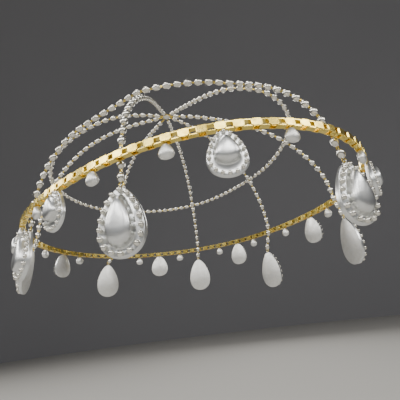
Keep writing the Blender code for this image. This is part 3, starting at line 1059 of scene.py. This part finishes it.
@dataclass(frozen=True)
class Pear:
    """A granulated pear pendant: a plate with a soft back, granules near its rim and a raised pear dome."""

    sizes: PearSizes
    waist: float = 0.3
    dome_waist: float = 0.4
    centre: float = 0.57
    granules: int = 18
    columns: int = 64
    rim_inset: float = 0.16
    rim_edge: float = 0.42
    granule_inset: float = 0.75
    granule_lift: float = 0.52
    granule_fineness: int = 2
    granule_spread: float = 0.08
    granule_seed: int = 7
    floor_share: float = 0.95
    floor_inset: float = 1.4
    back_rings: int = 6
    edge_rings: int = 6
    satin_share: float = 0.98
    satin_slope: float = 0.2
    dome_profile: Sequence[tuple[float, float]] = (
        (1.0, 0.0), (0.965, 0.035), (0.93, 0.13), (0.905, 0.29), (0.885, 0.45), (0.855, 0.6), (0.805, 0.73),
        (0.725, 0.84), (0.6, 0.92), (0.43, 0.972), (0.22, 0.995),
    )

    def ring(self, inset: float, depth: float) -> list[Vector]:
        """The plate's outline at an inset and a depth towards the face."""
        size = (self.sizes.width, self.sizes.height)
        return [Vector((x, -depth, z)) for x, z in pear_outline(size, inset, self.waist, self.columns)]

    def shell(self) -> bpy.types.Mesh:
        """The plate and its dome, with its top at the origin and its face towards -Y."""
        s = self.sizes
        middle_z = -s.height * self.centre
        edge_depth = s.plate * self.rim_edge
        rim = self.ring(0, 0)
        rings = []
        for k in range(1, self.back_rings):
            share = k / self.back_rings
            depth = edge_depth * share**2
            rings.append([Vector((p.x * share, -depth, middle_z + (p.z - middle_z) * share)) for p in rim])
        for k in range(self.edge_rings + 1):
            turn = math.pi / 2 * k / self.edge_rings
            inset = s.plate * self.rim_inset * (1 - math.cos(turn))
            depth = edge_depth + (s.plate - edge_depth) * math.sin(turn)
            rings.append(self.ring(inset, depth))
        floor = s.plate * self.floor_share
        rings.append(self.ring(s.plate * self.rim_inset + s.granule * self.floor_inset, floor))
        foot = pear_outline(s.dome_size, 0, self.dome_waist, self.columns)
        dome_z = -s.dome_fall - s.dome_size[1] * self.centre
        for share, height in self.dome_profile:
            depth = floor + (s.dome_top - floor) * height
            rings.append(
                [Vector((x * share, -depth, dome_z + (z - s.dome_fall - dome_z) * share)) for x, z in foot]
            )
        mesh = lofted("pear", rings, poles=(UP * middle_z, Vector((0, -s.dome_top, dome_z))))
        mesh.materials.append(Finish.BURNISHED_SILVER.material())
        mesh.materials.append(Finish.SATIN_SILVER.material())
        for face in mesh.polygons:
            behind = face.center.y > -edge_depth * self.satin_share and face.normal.y > self.satin_slope
            face.material_index = int(behind)
        return mesh

    def granule(self) -> bpy.types.Mesh:
        """One granule, a round ball."""
        form = bmesh.new()
        bmesh.ops.create_icosphere(form, subdivisions=self.granule_fineness, radius=self.sizes.granule)
        mesh = mesh_of("granule", form)
        mesh.shade_smooth()
        return mesh

    def granule_path(self, place: Matrix) -> list[Vector]:
        """The line on which the granules sit."""
        s = self.sizes
        inset = s.plate * self.rim_inset + s.granule * self.granule_inset
        return [place @ point for point in self.ring(inset, s.plate + s.granule * self.granule_lift)]

    def build(
        self,
        rows: PathRow,
        names: tuple[str, str],
        node: str,
        body: str,
        place: Matrix,
        eye: Optional[bpy.types.Mesh] = None,
    ) -> None:
        """Makes a pendant.

        Args:
            rows: The tree that sets the granules.
            names: The names of the pear and of its granules.
            node: The CAD node that it stands for.
            body: The body that it rides on.
            place: Where its top goes.
            eye: A wire eye to add to it, placed already.
        """
        shell = self.shell()
        shell.transform(place)
        if eye is not None:
            form = bmesh.new()
            form.from_mesh(shell)
            form.from_mesh(eye)
            form.to_mesh(shell)
            form.free()
            bpy.data.meshes.remove(eye)
        shell.name = names[0]
        add_piece(names[0], shell, body, [node])
        balls = rows.mesh(
            names[1],
            self.granule_path(place),
            self.granule(),
            self.granules,
            Finish.TUMBLED_SILVER.material(),
            closed=True,
            size_spread=self.granule_spread,
            seed=self.granule_seed,
        )
        add_piece(names[1], balls, body, [node])


@dataclass(frozen=True)
class LargePendants:
    """The large pendants, each on the eye it swings on."""

    form: HeadForm

    def build(self, rows: PathRow) -> None:
        """Makes the eight pendants."""
        pear = Pear(LARGE)
        play = EYE_RADIUS - 2 * EYE_WIRE - self.form.laid_gap
        eye_centre = Vector((0, -EYE_DEPTH, EYE_RADIUS - EYE_SUNK))
        on_hinge = Matrix.Translation(-eye_centre - UP * play)
        for number in range(1, PENDANTS_OF_A_KIND + 1):
            point, axis = hinge_of(number)
            turn = Matrix.Rotation(math.atan2(axis.y, axis.x), 4, "Z")
            lean = Matrix.Rotation(-math.radians(PENDANT_LEAN.get(number, 0)), 4, "X")
            place = Matrix.Translation(point) @ turn @ lean @ on_hinge
            eye = wire_ring("eye", eye_centre, -BACK, UP, (EYE_RADIUS,) * 2, EYE_WIRE)
            eye.transform(place)
            body = f"large_pendant_{number}"
            pear.build(rows, (f"large_pear_{number}", f"large_granules_{number}"), body, body, place, eye)


@dataclass(frozen=True)
class MediumPendants:
    """The medium pendants right under the circlet."""

    form: HeadForm

    def build(self, rows: PathRow) -> None:
        """Makes the eight pendants."""
        pear = Pear(MEDIUM)
        centred = Matrix.Translation(BACK * MEDIUM_HANG_DEPTH)
        for number in range(1, PENDANTS_OF_A_KIND + 1):
            station = PLACES_BETWEEN_LARGE * number - PLACES_BETWEEN_LARGE // 2
            names = (f"medium_pear_{number}", f"medium_granules_{number}")
            place = self.form.under_circlet(station) @ centred
            pear.build(rows, names, f"medium_pendant_{number}", ROOT_BODY, place)


@dataclass(frozen=True)
class PebbleDrops:
    """The small smooth drops, each a little different."""

    form: HeadForm
    width: float = 5.7 * MM
    height: float = 5.9 * MM
    thickness: float = 3.2 * MM
    waist: float = 0.42
    centre: float = 0.57
    columns: int = 28
    rings: int = 11
    fullness: float = 2.5
    squareness: float = 2.1
    spread: float = 0.05
    waist_spread: tuple[float, float] = (-0.08, 0.04)
    slant_spread: tuple[float, float] = (-0.04, 0.04)
    seed: int = 11

    def drop(self, chance: np.random.Generator) -> bpy.types.Mesh:
        """One pebble, with its top at the origin and its face towards -Y."""
        width = self.width * (1 - chance.uniform(0, self.spread))
        height = self.height * (1 - chance.uniform(0, self.spread))
        waist = self.waist + chance.uniform(*self.waist_spread)
        slant = chance.uniform(*self.slant_spread)
        middle_z = -self.height * self.centre
        rim = [(x, z - middle_z) for x, z in pear_outline((width, height), 0, waist, self.columns)]
        rings = []
        for k in range(1, self.rings):
            turn = math.pi * k / self.rings
            share = math.sin(turn)
            bulge = math.copysign((1 - share**self.fullness) ** (1 / self.squareness), math.cos(turn))
            depth = self.thickness / 2 - self.thickness / 2 * bulge
            spots = [(x * share, z * share) for x, z in rim]
            rings.append([Vector((x, -depth + slant * z, middle_z + z)) for x, z in spots])
        back = UP * middle_z
        return lofted("pebble", rings, poles=(back, back - BACK * self.thickness))

    def build(self) -> None:
        """Makes the sixteen drops."""
        chance = np.random.default_rng(self.seed)
        centred = Matrix.Translation(BACK * self.thickness / 2)
        for number in range(1, DROPS + 1):
            mesh = self.drop(chance)
            mesh.transform(self.form.under_circlet(2 * number - 1) @ centred)
            mesh = joined(f"pebble_drop_{number}", [mesh], Finish.SATIN_SILVER.material())
            add_piece(f"pebble_drop_{number}", mesh, ROOT_BODY, [f"small_drop_{number}"])


@dataclass(frozen=True)
class JumpRings:
    """The wire rings that join the medium pendants and the drops to the chain."""

    form: HeadForm
    radius: float = 0.95 * MM
    wire: float = 0.2 * MM
    columns: int = 14

    def build(self) -> None:
        """Makes the rings at the medium pendants and the drops."""
        made = []
        for station in range(len(self.form.hanging_places)):
            if station % PLACES_BETWEEN_LARGE == 0:
                continue
            place = self.form.under_circlet(station)
            top = place.translation + UP * (self.form.laid_gap / 2)
            outward = (place.to_3x3() @ -BACK).normalized()
            radii = (self.radius,) * 2
            made.append(wire_ring("jump_ring", top, outward, UP, radii, self.wire, self.columns))
        mesh = joined("jump_rings", made, Finish.WIRE_GOLD.material())
        add_piece("jump_rings", mesh, ROOT_BODY, [])


# ---- Studio


@dataclass(frozen=True)
class Studio:
    """A pale floor, a grey backdrop that curves up behind, soft lights and the camera."""

    camera_place: tuple[float, float, float] = (28.9 * MM, -173.9 * MM, -56.4 * MM)
    camera_azimuth: float = -4.99
    camera_elevation: float = 21.22
    camera_roll: float = -6.84
    lens: float = 27.5
    sensor: float = 36.0
    floor_z: float = -175 * MM
    floor_colour: str = "#C6C4BF"
    backdrop_radius: float = 2.4
    backdrop_sides: int = 72
    backdrop_sides_each_way: int = 21
    backdrop_rings: int = 24
    backdrop_flatness: float = 0.6
    backdrop_colour: str = "#8E8E92"
    paint_roughness: float = 0.85
    stipple: float = 2.5 * MM
    stipple_height: float = 0.2 * MM
    stipple_strength: float = 0.2
    light_target: tuple[float, float, float] = (0, 0, 0.02)
    light_colour: str = "#FFFDF9"
    panel_azimuths: Sequence[float] = (-100, -55, -16, 24, 66)
    panel_reach: float = 1.2
    panel_height: float = 0.66
    panel_sides: tuple[float, float] = (0.66, 0.26)
    panel_power: float = 5.2
    top_place: tuple[float, float, float] = (-0.2, -0.1, 1.0)
    top_sides: tuple[float, float] = (0.35, 0.35)
    top_power: float = 3.6
    back_place: tuple[float, float, float] = (0.2, 1.1, 0.5)
    back_sides: tuple[float, float] = (0.5, 0.25)
    back_power: float = 3.0
    world_colour: str = "#DCE0E6"
    world_strength: float = 0.13

    def camera(self) -> None:
        """Makes the camera at the photograph's place and tilt."""
        azimuth, elevation = math.radians(self.camera_azimuth), math.radians(self.camera_elevation)
        level = math.cos(elevation)
        forward = Vector((math.sin(azimuth) * level, math.cos(azimuth) * level, math.sin(elevation)))
        unrolled = forward.cross(UP).normalized()
        roll = math.radians(self.camera_roll)
        right = unrolled * math.cos(roll) + unrolled.cross(forward) * math.sin(roll)
        up = right.cross(forward)
        data = bpy.data.cameras.new("camera")
        data.lens = self.lens
        data.sensor_width = self.sensor
        data.clip_start = MM
        camera = in_scene("camera", data)
        turn = Matrix((right, up, -forward)).transposed().to_4x4()
        camera.matrix_world = Matrix.Translation(self.camera_place) @ turn
        bpy.context.scene.camera = camera

    def painted(self, name: str, colour: str) -> bpy.types.Material:
        """Matt rolled paint with a fine stipple.

        Args:
            name: The material's name.
            colour: Its colour.

        Returns:
            The material.
        """
        material = bpy.data.materials.new(name)
        material.use_nodes = True
        tree = material.node_tree
        place = add_node(tree, "ShaderNodeTexCoord").outputs["Object"]
        stipple = add_node(
            tree, "ShaderNodeTexNoise", values={"Scale": 1 / self.stipple}, links={"Vector": place}
        )
        relief = add_node(
            tree,
            "ShaderNodeBump",
            values={"Strength": self.stipple_strength, "Distance": self.stipple_height},
            links={"Height": stipple.outputs["Fac"]},
        )
        shader = tree.nodes["Principled BSDF"]
        shader.inputs["Base Color"].default_value = linear_colour(colour)
        shader.inputs["Roughness"].default_value = self.paint_roughness
        tree.links.new(relief.outputs["Normal"], shader.inputs["Normal"])
        return material

    def staged(self, name: str, form: bmesh.types.BMesh, material: bpy.types.Material) -> None:
        """Puts a shape of the studio in the scene.

        Args:
            name: Its name.
            form: Its faces, which are used up.
            material: Its material.
        """
        bmesh.ops.delete(form, geom=[v for v in form.verts if not v.link_faces], context="VERTS")
        mesh = mesh_of(name, form)
        mesh.shade_smooth()
        mesh.materials.append(material)
        piece = in_scene(name, mesh)

    def floor(self) -> None:
        """Makes the round floor."""
        form = bmesh.new()
        bmesh.ops.create_circle(
            form, cap_ends=True, segments=self.backdrop_sides, radius=self.backdrop_radius
        )
        bmesh.ops.translate(form, verts=form.verts, vec=(0, 0, self.floor_z))
        self.staged("floor", form, self.painted("matt_painted_floor", self.floor_colour))

    def backdrop(self) -> None:
        """Makes the backdrop, which curves up and over behind the object."""
        form = bmesh.new()
        rows = []
        sides = circle(self.backdrop_sides)
        for ring in range(self.backdrop_rings):
            turn = math.pi / 2 * ring / self.backdrop_rings
            radius = self.backdrop_radius * math.cos(turn) ** self.backdrop_flatness
            z = self.floor_z + self.backdrop_radius * math.sin(turn)
            rows.append([form.verts.new((radius * x, radius * y, z)) for y, x in sides])
        for lower, upper in zip(rows, rows[1:]):
            for k in range(-self.backdrop_sides_each_way, self.backdrop_sides_each_way):
                form.faces.new((lower[k], upper[k], upper[k + 1], lower[k + 1]))
        self.staged("backdrop", form, self.painted("matt_painted_backdrop", self.backdrop_colour))

    def light(
        self, name: str, place: tuple[float, float, float], sides: tuple[float, float], power: float
    ) -> None:
        """Adds a soft light that looks at the object.

        Args:
            name: The light's name.
            place: Where it stands, in metres.
            sides: Its width and height.
            power: Its power in watts.
        """
        data = bpy.data.lights.new(name, "AREA")
        data.shape = "RECTANGLE"
        data.size, data.size_y = sides
        data.energy = power
        data.color = linear_colour(self.light_colour)[:3]
        aim = (Vector(self.light_target) - Vector(place)).to_track_quat("-Z", "Y").to_matrix().to_4x4()
        in_scene(name, data).matrix_world = Matrix.Translation(place) @ aim

    def build(self) -> None:
        """Makes the whole studio."""
        self.camera()
        self.floor()
        self.backdrop()
        world = bpy.data.worlds.new("studio")
        world.use_nodes = True
        sky = world.node_tree.nodes["Background"]
        sky.inputs["Color"].default_value = linear_colour(self.world_colour)
        sky.inputs["Strength"].default_value = self.world_strength
        bpy.context.scene.world = world
        for number, azimuth in enumerate(self.panel_azimuths, start=1):
            turn = math.radians(azimuth)
            reach = self.panel_reach
            place = (reach * math.sin(turn), -reach * math.cos(turn), self.panel_height)
            self.light(f"softbox_{number}", place, self.panel_sides, self.panel_power)
        self.light("top_softbox", self.top_place, self.top_sides, self.top_power)
        self.light("back_softbox", self.back_place, self.back_sides, self.back_power)


def main() -> None:
    """Builds every sub-assembly in order."""
    logging.basicConfig(level=logging.INFO, format="%(message)s")
    form = HeadForm()
    Studio().build()
    rows = PathRow()
    BoxChain(form).build(rows)
    for seed, route in enumerate(ROUTES, start=1):
        BeadStrand(form, route).build(rows, seed)
    CrownRing(form).build()
    LargePendants(form).build(rows)
    MediumPendants(form).build(rows)
    PebbleDrops(form).build()
    JumpRings(form).build()


if __name__ == "__main__":
    main()
